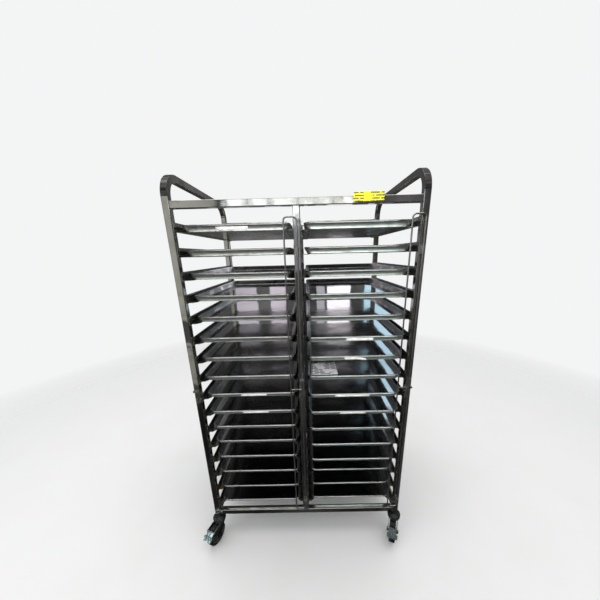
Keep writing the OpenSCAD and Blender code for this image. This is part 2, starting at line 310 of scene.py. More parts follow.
def pan_inside():
    """Inside of a pan: worn mirror polish with fine rubbing marks across it and a thin uneven haze."""
    shader = Shader("pan_inside", metallic=1.0)
    rubbing = shader.noise(260, (0.06, 1, 1), 4, 0.2)
    haze = shader.span(shader.noise(5, detail=4, distortion=0.5), 0.5, 0.8)
    scratches = shader.span(shader.cells(40, (1, 0.2, 1)), 0.0, 0.004, 1, 0)
    tint = shader.blend(haze, (0.62, 0.62, 0.63), (0.50, 0.48, 0.45))
    dull = shader.add(shader.span(rubbing, 0.35, 0.7, 0.05, 0.12), shader.span(haze, 0, 1, 0, 0.08))
    dull = shader.add(dull, shader.span(scratches, 0, 1, 0, 0.08))
    waves = shader.bump(shader.noise(8, detail=2), 1.4)
    return shader.finish(tint, dull, shader.bump(rubbing, 0.01, waves))


def pan_slope():
    """Inner faces of a pan's walls: drawn sheet, satin from the press, with bright rubs."""
    shader = Shader("pan_slope", metallic=1.0)
    drawn = shader.noise(120, (1, 1, 0.2), 4)
    rubs = shader.span(shader.noise(14, (1, 1, 3), 5, 0.5), 0.45, 0.65)
    tint = shader.blend(rubs, (0.66, 0.66, 0.66), (0.80, 0.80, 0.80))
    dull = shader.add(shader.span(drawn, 0.3, 0.7, 0.26, 0.40), shader.span(rubs, 0, 1, 0.08, -0.08))
    return shader.finish(tint, dull, shader.bump(drawn, 0.05))


def pan_under():
    """Underside of a pan: the same sheet, duller and stained by the oven."""
    shader = Shader("pan_under", metallic=1.0)
    stained = shader.span(shader.noise(9, detail=6, distortion=0.7), 0.5, 0.75)
    tint = shader.blend(stained, (0.56, 0.57, 0.57), (0.36, 0.33, 0.28))
    streaks = shader.noise(240, (0.1, 1, 1), 3)
    dull = shader.add(shader.span(streaks, 0.3, 0.7, 0.12, 0.20), shader.span(stained, 0, 1, 0, 0.14))
    return shader.finish(tint, dull, shader.bump(shader.noise(11, detail=2), 1.3))


def pan_wall_outside():
    """Outer face of a pan's walls: matt oxide with a faint green tint that paints the floor's reflection,
    knocked and streaked by the ledges it slides along.
    """
    shader = Shader("pan_wall_outside", metallic=1.0)
    stained = shader.span(shader.noise(26, (1, 1, 2), 6, 0.6), 0.5, 0.75)
    streaks = shader.noise(300, (0.08, 0.08, 1), 3)
    # Painted reflection: the slight green of the clean sheet stands for the floor it mirrors, and the brown
    # patches are stains.
    tint = shader.blend(stained, (0.60, 0.625, 0.60), (0.40, 0.385, 0.33))
    dull = shader.add(shader.span(streaks, 0.3, 0.7, 0.36, 0.48), shader.span(stained, 0, 1, 0, 0.12))
    return shader.finish(tint, dull, shader.bump(shader.noise(30, detail=2), 0.6))


def paper(name, colour, print_colour, up, row, gaps):
    """Paper with rows of plain bars where print would be. Rows as high as row stack along the axis up."""
    shader = Shader(name, roughness=0.6, specular=0.3)
    soil = shader.span(shader.noise(60, detail=5), 0.45, 0.75)
    tint = shader.blend(soil, colour, tuple(0.72 * c for c in colour))
    flat = shader.nodes.new("ShaderNodeCombineXYZ")
    shader.links.new(shader.axis("X"), flat.inputs["X"])
    shader.links.new(shader.axis(up), flat.inputs["Y"])
    bars = shader.nodes.new("ShaderNodeTexBrick")
    shader.links.new(flat.outputs["Vector"], bars.inputs["Vector"])
    bars.inputs["Scale"].default_value = 1
    bars.inputs["Brick Width"].default_value = 4 * row
    bars.inputs["Row Height"].default_value = row
    bars.inputs["Mortar Size"].default_value = 0.22 * row
    words = shader.span(shader.noise(0.2 / row, detail=1), gaps, gaps + 0.02)
    printed = shader.times(shader.calculate("SUBTRACT", 1, bars.outputs["Fac"]), words)
    tint = shader.blend(printed, tint, print_colour)
    return shader.finish(tint, None, shader.bump(shader.noise(400, detail=3), 0.1))


def seam_dark():
    """Dark line in the joints between the frame's halves."""
    shader = Shader("seam_dark", metallic=1.0)
    grime = shader.noise(300, detail=3)
    tint = shader.blend(grime, (0.03, 0.03, 0.03), (0.09, 0.085, 0.08))
    return shader.finish(tint, shader.span(grime, 0, 1, 0.5, 0.8), None)


TUBE = {"x": polished_tube("x", 0.4), "y": polished_tube("y", 1.2), "z": polished_tube("z", 1.2)}
POST = worn_post()
RUNNER = runner_sheet()
WIRE = drawn_wire()
WELD = weld_metal()
ZINC = zinc_plate()
HEAD = head_cover()
PEDAL = pedal_plate()
RUBBER = tyre_rubber()
HUB = hub_plastic()
PAN_INSIDE = pan_inside()
PAN_SLOPE = pan_slope()
PAN_UNDER = pan_under()
PAN_WALL = pan_wall_outside()
SEAM = seam_dark()
RIM_PAPER = paper("rim_label_paper", (0.80, 0.79, 0.77), (0.50, 0.49, 0.48), "Z", 4.5 * MM, 0.45)
YELLOW_PAPER = paper("yellow_label_paper", (0.83, 0.78, 0.02), (0.16, 0.15, 0.03), "Z", 9 * MM, 0.45)
SHEET_PAPER = paper("packing_sheet_paper", (0.82, 0.81, 0.84), (0.05, 0.05, 0.055), "Y", 13 * MM, 0.40)


# ---- mesh building ----

X_AXIS = Vector((1, 0, 0))
Y_AXIS = Vector((0, 1, 0))
Z_AXIS = Vector((0, 0, 1))


def add_piece(name, vertices, faces, materials, body, face_materials=None):
    """A new mesh piece in the frame's coordinates, riding on a body."""
    mesh = bpy.data.meshes.new(name)
    mesh.from_pydata([tuple(v) for v in vertices], [], faces)
    for material in materials:
        mesh.materials.append(material)
    mesh.polygons.foreach_set("use_smooth", [True] * len(mesh.polygons))
    if face_materials:
        mesh.polygons.foreach_set("material_index", face_materials)
    mesh.validate()
    skin = bmesh.new()
    skin.from_mesh(mesh)
    bmesh.ops.recalc_face_normals(skin, faces=skin.faces)
    skin.to_mesh(mesh)
    skin.free()
    piece = bpy.data.objects.new(name, mesh)
    bpy.context.scene.collection.objects.link(piece)
    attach(piece, body)
    return piece


def circle(centre, side_a, side_b, radius, steps):
    """Points round a circle in the plane of side_a and side_b."""
    turns = [math.tau * k / steps for k in range(steps)]
    return [centre + radius * (math.cos(turn) * side_a + math.sin(turn) * side_b) for turn in turns]


def rounded_loop(centre, side_a, side_b, half_a, half_b, radius, corner_steps, straight_steps):
    """Points round a rectangle with rounded corners in the plane of side_a and side_b."""
    corners = []
    for sign_a, sign_b in ((1, 1), (-1, 1), (-1, -1), (1, -1)):
        corners.append(centre + side_a * sign_a * (half_a - radius) + side_b * sign_b * (half_b - radius))
    loop = []
    for k, corner in enumerate(corners):
        for i in range(corner_steps + 1):
            turn = math.radians(90 * (k + i / corner_steps))
            reach = radius * (math.cos(turn) * side_a + math.sin(turn) * side_b)
            loop.append(corner + reach)
        here = loop[-1]
        following = corners[(k + 1) % 4] + reach
        steps = straight_steps[k % 2]
        loop.extend(here.lerp(following, i / steps) for i in range(1, steps))
    return loop


class Solid:
    """Collects closed lofts into one mesh."""

    def __init__(self):
        self.vertices = []
        self.faces = []

    def loft(self, rings, closed=False, capped=True):
        """Joins rings of equal length, each a closed loop of points, into a skin."""
        start = len(self.vertices)
        count = len(rings[0])
        for ring in rings:
            self.vertices.extend(ring)
        pairs = len(rings) if closed else len(rings) - 1
        for r in range(pairs):
            a = start + r * count
            b = start + (r + 1) % len(rings) * count
            for i in range(count):
                j = (i + 1) % count
                self.faces.append((a + i, a + j, b + j, b + i))
        if capped and not closed:
            last = start + (len(rings) - 1) * count
            self.faces.append(tuple(start + i for i in reversed(range(count))))
            self.faces.append(tuple(last + i for i in range(count)))

    def tube(self, path, radius, normal, sides, closed=False):
        """A round rod along a path in the plane across normal; radius is a number, or one for each point."""
        rings = []
        count = len(path)
        for i, point in enumerate(path):
            before = path[i - 1] if i or closed else point
            after = path[(i + 1) % count] if i < count - 1 or closed else point
            across = (after - before).normalized().cross(normal)
            here = radius[i] if isinstance(radius, list) else radius
            rings.append(circle(point, across, normal, here, sides))
        self.loft(rings, closed)

    def lathe(self, profile, centre, axis, steps):
        """Turns (radius, along) points, in millimetres, about the axis line through centre."""
        side = axis.orthogonal().normalized()
        rings = []
        for out in circle(Vector(), side, axis.cross(side), 1, steps):
            rings.append([centre + axis * (along * MM) + out * (radius * MM) for radius, along in profile])
        self.loft(rings, closed=True)

    def piece(self, name, material, body, slot):
        """The collected lofts as a piece of one material."""
        return add_piece(name, self.vertices, self.faces, [material], body)


def smooth_by_angle(piece, degrees):
    """Keeps edges sharper than the angle crisp and shades the rest smooth."""
    piece.data.set_sharp_from_angle(angle=math.radians(degrees))


# ---- pans ----

PAN_RIM = 2.5 * MM
PAN_PLAY = 0.2 * MM
PAN_SHEET = 1.2 * MM
PAN_FLARE = 10 * MM
PAN_CORNER = 30 * MM
PAN_HEIGHT = 25 * MM
LEAST_CORNER = 9 * MM
CORNER_STEPS = 7
STRAIGHT_STEPS = (11, 16)
WALL_SHARE = 0.9
FOOT_FILLET = 3.5 * MM
FILLET_STEPS = 5
BEAD_STEPS = 12
BEAD_FROM = -8
BEAD_TURN = 310
SHINY_BEAD = 9
# Insets of the floor's rings from the rim's outer edge, in millimetres
FLOOR_INSETS = (22, 28, 36, 48, 62, 80, 100, 122, 144, 166, 186)
# The dished floor and bowed walls of a used pan: where they start and end, and their depths in millimetres
FLOOR_FROM = 24 * MM
FLOOR_EASE = 30 * MM
WALL_DEEP = 16 * MM
FLOOR_SWELL = 0.9
FLOOR_WAVE = 0.5
WALL_BOW = 1.1
RIM_DROP = 0.5
SEED_STEP = 11.3

# The skin's materials in order, from the floor's middle over the rim and back under
PAN_ZONES = [PAN_INSIDE, PAN_SLOPE, PAN_INSIDE, PAN_WALL, PAN_UNDER]


def wall_line(side):
    """(inset from the rim's outer edge, height) round the wall's foot, inside (0) or outside (1)."""
    slope = math.atan2(PAN_HEIGHT - PAN_RIM - PAN_SHEET, PAN_FLARE)
    foot_inset = 2 * PAN_RIM + PAN_FLARE - side * PAN_SHEET * WALL_SHARE
    foot_z = PAN_SHEET * (1 - side)
    fillet = FOOT_FILLET + side * PAN_SHEET
    back = fillet * math.tan(slope / 2)
    centre = Vector((foot_inset + back, foot_z + fillet))
    points = []
    for i in range(FILLET_STEPS + 1):
        turn = math.radians(-90) - slope * i / FILLET_STEPS
        points.append(centre + fillet * Vector((math.cos(turn), math.sin(turn))))
    return points


def pan_section():
    """(inset, height) of a pan's skin, from the floor over the rim and back under, and its zones' starts."""
    inner = wall_line(0)
    outer = wall_line(1)
    floor_top = [Vector((inset * MM, PAN_SHEET)) for inset in reversed(FLOOR_INSETS)]
    floor_under = [Vector((inset * MM, 0)) for inset in FLOOR_INSETS]
    centre = Vector((PAN_RIM, PAN_HEIGHT - PAN_RIM))
    bead = []
    for i in range(BEAD_STEPS + 1):
        turn = math.radians(BEAD_FROM + BEAD_TURN * i / BEAD_STEPS)
        bead.append(centre + PAN_RIM * Vector((math.cos(turn), math.sin(turn))))
    points = floor_top + inner + bead + list(reversed(outer)) + floor_under
    slope_from = len(floor_top) + 1
    bead_from = len(floor_top) + len(inner)
    wall_from = bead_from + SHINY_BEAD
    under_from = bead_from + len(bead) + len(outer)
    return points, (slope_from, bead_from, wall_from, under_from)


def pan_ring(inset, height, half_x, half_y, centre, seed):
    """One loop of a pan's skin, its floor a little dished and its long walls a little bowed, by its seed."""
    corner = max(PAN_CORNER - inset, LEAST_CORNER)
    loop_size = (half_x - inset, half_y - inset, corner)
    floor_share = min(1, max(0, (inset - FLOOR_FROM) / FLOOR_EASE))
    wall_share = 1 - min(1, max(0, inset / WALL_DEEP))
    placed = []
    for point in rounded_loop(Vector(), X_AXIS, Y_AXIS, *loop_size, CORNER_STEPS, STRAIGHT_STEPS):
        wave = noise.noise(Vector((point.x * 5, point.y * 4, seed)))
        swell = 0.5 + noise.noise(Vector((point.x * 2, point.y * 2, seed + 9)))
        lift = floor_share * max(0, FLOOR_SWELL * swell + FLOOR_WAVE * wave) * MM
        along = 1 - abs(point.y) / half_y
        bow = wall_share * WALL_BOW * MM * along * (0.5 + 0.5 * noise.noise(Vector((seed, point.x * 3, 4))))
        uneven = 0.5 + noise.noise(Vector((point.x * 6, point.y * 6, seed + 3)))
        drop = max(0, wall_share * RIM_DROP * MM * uneven)
        x = point.x - math.copysign(min(bow, abs(point.x)), point.x)
        placed.append(centre + Vector((x, point.y, height + lift - drop)))
    return placed


def build_pan(node, seed):
    """The skin of one pan in the place of its CAD node."""
    low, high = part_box(node)
    half_x = (high.x - low.x) / 2
    half_y = (high.y - low.y) / 2
    centre = Vector(((low.x + high.x) / 2, (low.y + high.y) / 2, low.z))
    points, changes = pan_section()
    rings = [pan_ring(inset, height, half_x, half_y, centre, seed) for inset, height in points]
    solid = Solid()
    solid.loft(rings)
    zones = [sum(r >= change for change in changes) for r in range(len(rings) - 1)]
    caps = [0, len(PAN_ZONES) - 1]
    zones = [zone for zone in zones for _ in rings[0]] + caps
    piece = add_piece(node + "_shell", solid.vertices, solid.faces, PAN_ZONES, node, zones)
    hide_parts(node)


for index, pan_node in enumerate(PANS):
    build_pan(pan_node, SEED_STEP * index)


# ---- labels ----

# Across the rack, from and to, in millimetres, of the blank stickers on the pans' front walls
RIM_LABELS = {
    "pan_left_01": (-296, -178),
    "pan_left_09": (-272, -159),
    "pan_left_10": (-271, -155),
    "pan_right_06": (184, 292),
    "pan_right_07": (180, 267),
    "pan_right_09": (140, 290),
    "pan_right_10": (162, 277),
}
LABEL_THICK = 0.12 * MM
LABEL_GAP = 0.5 * MM
LABEL_FOOT = 5.5 * MM
LABEL_HEIGHT = 12.5 * MM
LABEL_LIFT = 0.15 * MM
PEELING = "pan_right_07"
PEEL_FROM = 0.6
PEEL_LIFT = 14 * MM
SHEET_GAP = 1.6
SHEET_RIPPLE = 1.2
SHEET_CORNER_LIFT = 2
BAR_LABEL_GAP = 0.3 * MM
BAR_LABEL_RIPPLE = 0.4 * MM
BAR_LABEL_LEAN = 0.12


def sheet_piece(name, rows, columns, place, material, body):
    """A thin closed sheet. place gives a point and its normal from shares of the sheet's width and height."""
    grid = [[place(c / (columns - 1), r / (rows - 1)) for c in range(columns)] for r in range(rows)]
    under = [point for row in grid for point, _ in row]
    over = [point + normal * LABEL_THICK for row in grid for point, normal in row]
    top = rows * columns
    faces = []
    for r in range(rows - 1):
        for c in range(columns - 1):
            a = r * columns + c
            faces.append((a, a + columns, a + columns + 1, a + 1))
            faces.append((top + a, top + a + 1, top + a + columns + 1, top + a + columns))
    edge = list(range(columns))
    edge += [r * columns + columns - 1 for r in range(1, rows)]
    edge += [(rows - 1) * columns + c for c in range(columns - 2, -1, -1)]
    edge += [r * columns for r in range(rows - 2, 0, -1)]
    for a, b in zip(edge, edge[1:] + edge[:1]):
        faces.append((a, b, top + b, top + a))
    add_piece(name, under + over, faces, [material], body)


def build_rim_label(node, start, end):
    """A paper strip on the outer face of a pan's front wall, one end curling away on the peeling one."""
    low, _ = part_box(node)
    slope = math.atan2(PAN_FLARE, PAN_HEIGHT - PAN_RIM - PAN_SHEET)
    up = Vector((0, -math.sin(slope), math.cos(slope)))
    out = Vector((0, -math.cos(slope), -math.sin(slope)))
    foot = Vector((0, low.y + 2 * PAN_RIM + PAN_FLARE - PAN_SHEET, low.z))

    def place(across, rise):
        peel = max(0, across - PEEL_FROM) * PEEL_LIFT
        curl = peel if node == PEELING else LABEL_LIFT * abs(2 * across - 1)
        x = (start + (end - start) * across) * MM
        height = LABEL_FOOT + LABEL_HEIGHT * rise
        return foot + Vector((x, 0, 0)) + up * height + out * (LABEL_GAP + curl), out

    sheet_piece(node + "_label", 5, 13, place, RIM_PAPER, node)


def build_packing_sheet(node, left, right, front, back):
    """A printed-looking sheet of paper lying on a pan's floor, its corners lifting a little."""
    low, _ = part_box(node)

    def place(across, along):
        x = (left + (right - left) * across) * MM
        y = (front + (back - front) * along) * MM
        ripple = SHEET_RIPPLE * noise.noise(Vector((x * 30, y * 30, 2)))
        corner = SHEET_CORNER_LIFT * (abs(2 * across - 1) * abs(2 * along - 1)) ** 3
        return Vector((x, y, low.z + PAN_SHEET + (SHEET_GAP + ripple + corner) * MM)), Z_AXIS

    sheet_piece(node + "_paper", 9, 11, place, SHEET_PAPER, node)


def build_bar_label(left, right, bottom, top):
    """The yellow label on the front top bar, leaning back a little; heights are above the bar's underside."""
    low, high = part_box("top_bars")

    def place(across, rise):
        height = low.z + (bottom + (top - bottom) * rise) * MM
        x = (left + (right - left) * across) * MM
        lean = max(0, height - high.z) * BAR_LABEL_LEAN
        ripple = BAR_LABEL_RIPPLE * math.sin(5 * across) * rise
        return Vector((x, low.y - BAR_LABEL_GAP + lean - ripple, height)), -Y_AXIS

    sheet_piece("top_bar_label", 7, 13, place, YELLOW_PAPER, "frame")


for labelled, (label_start, label_end) in RIM_LABELS.items():
    build_rim_label(labelled, label_start, label_end)
build_packing_sheet("pan_right_08", left=40, right=158, front=-262, back=-132)
build_bar_label(left=197, right=301, bottom=7, top=37)


# ---- runners ----

RUNNER_NODES = ("left_outer_runners", "left_centre_runners", "right_centre_runners", "right_outer_runners")
RUNNER_SHEET = 1.5 * MM
RUNNER_BEND = 3.0 * MM
BEND_STEPS = 4
WEB_TOP = 32.5 * MM
WEB_EDGE = 0.3 * MM
LEDGE_REACH = 30 * MM
LEDGE_NECK = 16 * MM
LEDGE_CHAMFER = 14 * MM
LEDGE_HALF = 295 * MM


def runner_side(node):
    """Where a runner node's webs lie, which way its ledges reach, its half depth and its pans."""
    low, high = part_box(node)
    faces_right = node in ("left_outer_runners", "right_centre_runners")
    face, inward = (low.x, 1) if faces_right else (high.x, -1)
    pans = [pan for pan in PANS if ("left" in node) == ("left" in pan)]
    return face, inward, high.y, pans


def runner_section(reach):
    """(across, height) of the folded sheet, its web on 0 and its ledge's top at height 0."""
    under = [(reach, -RUNNER_SHEET), (reach, 0)]
    inner = RUNNER_BEND - RUNNER_SHEET
    fold_in = []
    fold_out = []
    for i in range(BEND_STEPS + 1):
        turn = math.radians(90 * i / BEND_STEPS)
        sine, cosine = math.sin(turn), math.cos(turn)
        fold_in.append((RUNNER_BEND - inner * sine, inner - inner * cosine))
        fold_out.append((RUNNER_BEND * (1 - cosine), RUNNER_BEND * (1 - sine) - RUNNER_SHEET))
    web = [(RUNNER_SHEET, WEB_TOP), (WEB_EDGE, WEB_TOP), (0, WEB_TOP - WEB_EDGE)]
    return under + fold_in + web + fold_out


def build_runners(node):
    """The stack of folded angle runners on one side plane, in the place of its CAD node."""
    face, inward, half_depth, pans = runner_side(node)
    neck = RUNNER_BEND + 0.01 * MM
    stations = (
        (-half_depth, neck),
        (-LEDGE_HALF, neck),
        (-LEDGE_HALF, LEDGE_NECK),
        (-LEDGE_HALF + LEDGE_CHAMFER, LEDGE_REACH),
        (LEDGE_HALF - LEDGE_CHAMFER, LEDGE_REACH),
        (LEDGE_HALF, LEDGE_NECK),
        (LEDGE_HALF, neck),
        (half_depth, neck),
    )
    solid = Solid()
    for pan in pans:
        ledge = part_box(pan)[0].z - PAN_PLAY
        rings = []
        for y, reach in stations:
            section = runner_section(reach)
            rings.append([Vector((face + inward * across, y, ledge + up)) for across, up in section])
        solid.loft(rings)
    piece = solid.piece(node + "_folded", RUNNER, "frame", "runner_steel")
    smooth_by_angle(piece, 30)
    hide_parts(node)


for runner_node in RUNNER_NODES:
    build_runners(runner_node)


# ---- welds and seams ----

HALF_TUBE = 12.5 * MM
SQUARE_CORNER_STEPS = 4
SQUARE_STRAIGHT_STEPS = (12, 12)
FRAME_WELD_SEED = 5
FRAME_WELD_RADIUS = 1.25
RUNNER_WELD_SEED = 8
RUNNER_WELD_RADIUS = 1.3 * MM
RUNNER_WELD_INSET = 9.5 * MM
RUNNER_WELD_STEP = 1.9 * MM
SEAM_RADIUS = 0.32 * MM


def square_loop(centre, side_a, side_b, half, corner):
    """Points round a square tube's section."""
    steps = (SQUARE_CORNER_STEPS, SQUARE_STRAIGHT_STEPS)
    return rounded_loop(centre, side_a, side_b, half, half, corner, *steps)


def tube_ends():
    """Ends of bars and posts on other tubes: centre, way back along the tube, and its section's sides."""
    top_low, top_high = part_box("top_bars")
    base_low, base_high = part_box("base_bars")
    post_y = top_high.y - HALF_TUBE
    rail_x = base_high.x - HALF_TUBE
    top_z = top_low.z + HALF_TUBE
    base_z = base_low.z + HALF_TUBE
    ends = []
    for sx in (-1, 1):
        for sy in (-1, 1):
            rail_end = Vector((sx * rail_x, sy * (post_y - HALF_TUBE), base_z))
            ends.append((Vector((sx * top_high.x, sy * post_y, top_z)), -sx * X_AXIS, Y_AXIS, Z_AXIS))
            ends.append((Vector((sx * top_high.x, sy * post_y, base_z)), -sx * X_AXIS, Y_AXIS, Z_AXIS))
            ends.append((rail_end, -sy * Y_AXIS, Z_AXIS, X_AXIS))
    for sy in (-1, 1):
        ends.append((Vector((0, sy * post_y, top_low.z)), -Z_AXIS, X_AXIS, Y_AXIS))
        ends.append((Vector((0, sy * post_y, base_high.z)), Z_AXIS, X_AXIS, Y_AXIS))
    return ends


def build_frame_welds():
    """Rippled weld beads round every end of a bar or post that meets another tube."""
    rng = random.Random(FRAME_WELD_SEED)
    solid = Solid()
    for centre, inward, side_a, side_b in tube_ends():
        loop = square_loop(centre + inward * 0.5 * MM, side_a, side_b, HALF_TUBE + 0.1 * MM, 2.6 * MM)
        phase = rng.uniform(0, 6)
        radii = []
        for i in range(len(loop)):
            ripple = 0.28 * math.sin(phase + 1.9 * i)
            radii.append((FRAME_WELD_RADIUS + ripple + rng.uniform(-0.1, 0.1)) * MM)
        solid.tube(loop, radii, inward, 8, closed=True)
    solid.piece("frame_welds", WELD, "frame", "frame_steel")


def build_runner_welds():
    """A short weld at each end of each runner, along the top edge of its web on the post."""
    rng = random.Random(RUNNER_WELD_SEED)
    solid = Solid()
    for node in RUNNER_NODES:
        face, inward, half_depth, pans = runner_side(node)
        for pan in pans:
            web_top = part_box(pan)[0].z - PAN_PLAY + WEB_TOP
            for sy in (-1, 1):
                middle = sy * (half_depth - RUNNER_WELD_INSET)
                path = []
                for i in range(-3, 4):
                    y = middle + i * RUNNER_WELD_STEP
                    shift = Vector((inward * 0.9 * MM, y, web_top + rng.uniform(-0.2, 0.3) * MM))
                    path.append(Vector((face, 0, 0)) + shift)
                radii = []
                for i in range(-3, 4):
                    fullness = math.sqrt(max(0.08, 1 - (i / 3.2) ** 2))
                    radii.append(RUNNER_WELD_RADIUS * fullness * rng.uniform(0.85, 1.15))
                solid.tube(path, radii, Z_AXIS, 7)
    solid.piece("runner_welds", WELD, "frame", "runner_steel")


def build_joint_seams():
    """The dark line round each post where the upper half plugs into the lower."""
    low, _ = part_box("left_hoop")
    rail_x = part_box("right_hoop")[1].x - HALF_TUBE
    post_y = -low.y - HALF_TUBE
    solid = Solid()
    for x in (-rail_x, 0, rail_x):
        for sy in (-1, 1):
            centre = Vector((x, sy * post_y, low.z))
            loop = square_loop(centre, X_AXIS, Y_AXIS, HALF_TUBE - 0.12 * MM, 2.4 * MM)
            solid.tube(loop, SEAM_RADIUS, Z_AXIS, 6, closed=True)
    solid.piece("joint_seams", SEAM, "frame", "joint_steel")


build_frame_welds()
build_runner_welds()
build_joint_seams()


# ---- pan stops ----

ROD = 3 * MM
TIE_ROD = ROD - 0.5 * MM
STOP_BEND = 13 * MM
STOP_BEND_STEPS = 8
TIE_DROP = 20 * MM
TIE_WELD_RING = 3.1 * MM
TIE_WELD_RADIUS = 0.9 * MM
TIE_WELD_INSET = 2.6 * MM


def joint_line(name):
    """A joint's place and the direction of its axis."""
    joint = JOINTS[name]
    return Vector(joint["pos_m"]), Vector(joint["axis"]).normalized()


def build_stop(name):
    """One closed wire loop with its cross tie, in the place of its CAD node, and the tie's welds."""
    low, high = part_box(name)
    size = high - low
    along = X_AXIS if size.x > size.y else Y_AXIS
    normal = along.cross(Z_AXIS)
    middle = (low + high) / 2
    half_w = max(size.x, size.y) / 2 - ROD
    half_h = size.z / 2 - ROD
    path = rounded_loop(middle, along, Z_AXIS, half_w, half_h, STOP_BEND, STOP_BEND_STEPS, (1, 1))
    solid = Solid()
    solid.tube(path, ROD, normal, 16, closed=True)
    pivot, _ = joint_line(name + "_swing")
    start = middle - along * half_w
    tie = [Vector((start.x, start.y, pivot.z - TIE_DROP)) + along * 2 * half_w * i / 4 for i in range(5)]
    solid.tube(tie, TIE_ROD, normal, 12)
    piece = solid.piece(name + "_wire", WIRE, name, "stop_wire")
    smooth_by_angle(piece, 60)
    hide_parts(name)
    weld = Solid()
    for end, sign in ((tie[0], 1), (tie[-1], -1)):
        ring = circle(end, normal, Z_AXIS, TIE_WELD_RING, 14)
        weld.tube([p + along * sign * TIE_WELD_INSET for p in ring], TIE_WELD_RADIUS, along, 6, closed=True)
    weld.piece(name + "_welds", WELD, name, "stop_wire")


for stop_node in ("front_centre_stop", "front_right_stop", "rear_centre_stop", "rear_left_stop"):
    build_stop(stop_node)


# ---- casters ----

# Half sections of the wheel as (radius, along) in millimetres, which mirrored() completes
TYRE_SIDE = [(37.5, -11), (41, -14), (45, -14.8), (48, -13.6)]
TYRE_TREAD = [(49.2, -11.5), (49.6, -9.5), (48.4, -8.9), (48.4, -7.1), (49.8, -6.5), (49.9, -2.2)]
TYRE_CROWN = [(48.6, -1.6)]
HUB_BOSS = [(5.2, -17.5), (11, -17.5), (12.5, -15), (13, -9)]
HUB_RIM = [(30, -7), (33.5, -12.2), (36.6, -13), (38.2, -11.5)]
SPOKES = 8
SPOKE_HALF = 1.1
SPOKE_FOOT = 6
# Radius and height of a spoke's two ends, in millimetres
SPOKE_ENDS = ((12, 14), (31.5, 10.5))
RACE_RADIUS = 28.6 * MM
RACE_DROP = 1.4 * MM
RACE_STEPS = 72
TREAD_TILT = math.radians(32)
TREAD_AHEAD = 36 * MM
TREAD_DROP = 17 * MM
TREAD_RISE = 3.0 * MM
RIB_ROWS = (5, 10, 15)
RIB_STEP = 7 * MM
RIB_END = 0.5 * MM
RIB_MIDDLE = 0.9 * MM


def mirrored(profile):
    """The other half of a (radius, along) section."""
    return [(radius, -along) for radius, along in reversed(profile)]


def build_tyre(corner):
    """The tyre: grooved tread, rounded shoulders, and the seat on the rim."""
    centre, axis = joint_line(corner + "_roll")
    half = TYRE_SIDE + TYRE_TREAD + TYRE_CROWN
    tyre = Solid()
    tyre.lathe(half + mirrored(half), centre, axis, 96)
    piece = tyre.piece(corner + "_tyre", RUBBER, corner + "_wheel", "wheel_rubber")
    smooth_by_angle(piece, 35)
    return piece


def add_spokes(hub, centre, axis):
    """Ribs on both faces of the wheel's centre."""
    side = axis.orthogonal().normalized()
    other = axis.cross(side)
    for k in range(SPOKES):
        turn = math.tau * (k + 0.5) / SPOKES
        out = math.cos(turn) * side + math.sin(turn) * other
        across = axis.cross(out)
        for face in (-1, 1):
            rings = []
            for radius, height in SPOKE_ENDS:
                base = centre + out * radius * MM
                ring = []
                for sign, level in ((-1, SPOKE_FOOT), (1, SPOKE_FOOT), (1, height), (-1, height)):
                    ring.append(base + across * sign * SPOKE_HALF * MM + axis * face * level * MM)
                rings.append(ring)
            hub.loft(rings)


def build_hub(corner):
    """The moulded centre of the wheel with its spokes."""
    centre, axis = joint_line(corner + "_roll")
    hub = Solid()
    half = HUB_BOSS + HUB_RIM
    hub.lathe(half + mirrored(half), centre, axis, 72)
    add_spokes(hub, centre, axis)
    piece = hub.piece(corner + "_hub", HUB, corner + "_wheel", "wheel_rubber")
    smooth_by_angle(piece, 35)


def build_race_lip(corner):
    """The pressed lip of the swivel race, showing in the gap between head and fork."""
    centre, _ = joint_line(corner + "_swivel")
    _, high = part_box(corner + "_fork")
    middle = Vector((centre.x, centre.y, high.z - RACE_DROP))
    loop = circle(middle, X_AXIS, Y_AXIS, RACE_RADIUS, RACE_STEPS)
    radii = [(1.5 + 0.25 * math.cos(math.tau * k / 3)) * MM for k in range(RACE_STEPS)]
    ring = Solid()
    ring.tube(loop, radii, Z_AXIS, 8, closed=True)
    ring.piece(corner + "_race_lip", ZINC, corner + "_fork", "caster_zinc")


def build_pedal_ribs(corner):
    """Raised grip ribs across the pedal's tread plate."""
    pivot, across = joint_line(corner + "_brake")
    ahead = Vector((across.y, -across.x, 0))
    slope = -ahead * math.cos(TREAD_TILT) + Vector((0, 0, math.sin(TREAD_TILT)))
    rise = ahead * math.sin(TREAD_TILT) + Vector((0, 0, math.cos(TREAD_TILT)))
    edge = pivot + ahead * TREAD_AHEAD + Vector((0, 0, -TREAD_DROP))
    ribs = Solid()
    for down in RIB_ROWS:
        start = edge + slope * down * MM + rise * TREAD_RISE
        path = [start + across * step * RIB_STEP for step in range(-3, 4)]
        ribs.tube(path, [RIB_END] + [RIB_MIDDLE] * 5 + [RIB_END], rise, 8)
    ribs.piece(corner + "_pedal_ribs", PEDAL, corner + "_pedal", "pedal_steel")


for caster in CORNERS:
    caster_tyre = build_tyre(caster)
    build_hub(caster)
    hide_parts(caster + "_wheel")
    build_race_lip(caster)
for caster in BRAKED:
    build_pedal_ribs(caster)


# ---- CAD nodes that stay ----

NODE_MATERIALS = {
    "left_hoop": TUBE["z"],
    "right_hoop": TUBE["z"],
    "lower_posts": POST,
    "upper_centre_posts": POST,
    "joint_spigots": TUBE["z"],
    "joint_bolts": ZINC,
    "top_bars": TUBE["x"],
    "base_bars": TUBE["x"],
    "stop_lugs": WIRE,
    "caster_heads": HEAD,
    "front_left_pedal": PEDAL,
    "front_right_pedal": PEDAL,
}
NODE_MATERIALS.update({corner + "_fork": ZINC for corner in CORNERS})

for cad_node, cad_material in NODE_MATERIALS.items():
    frame["nodes"][cad_node].material_slots[0].material = cad_material


# ---- floor, light and camera ----

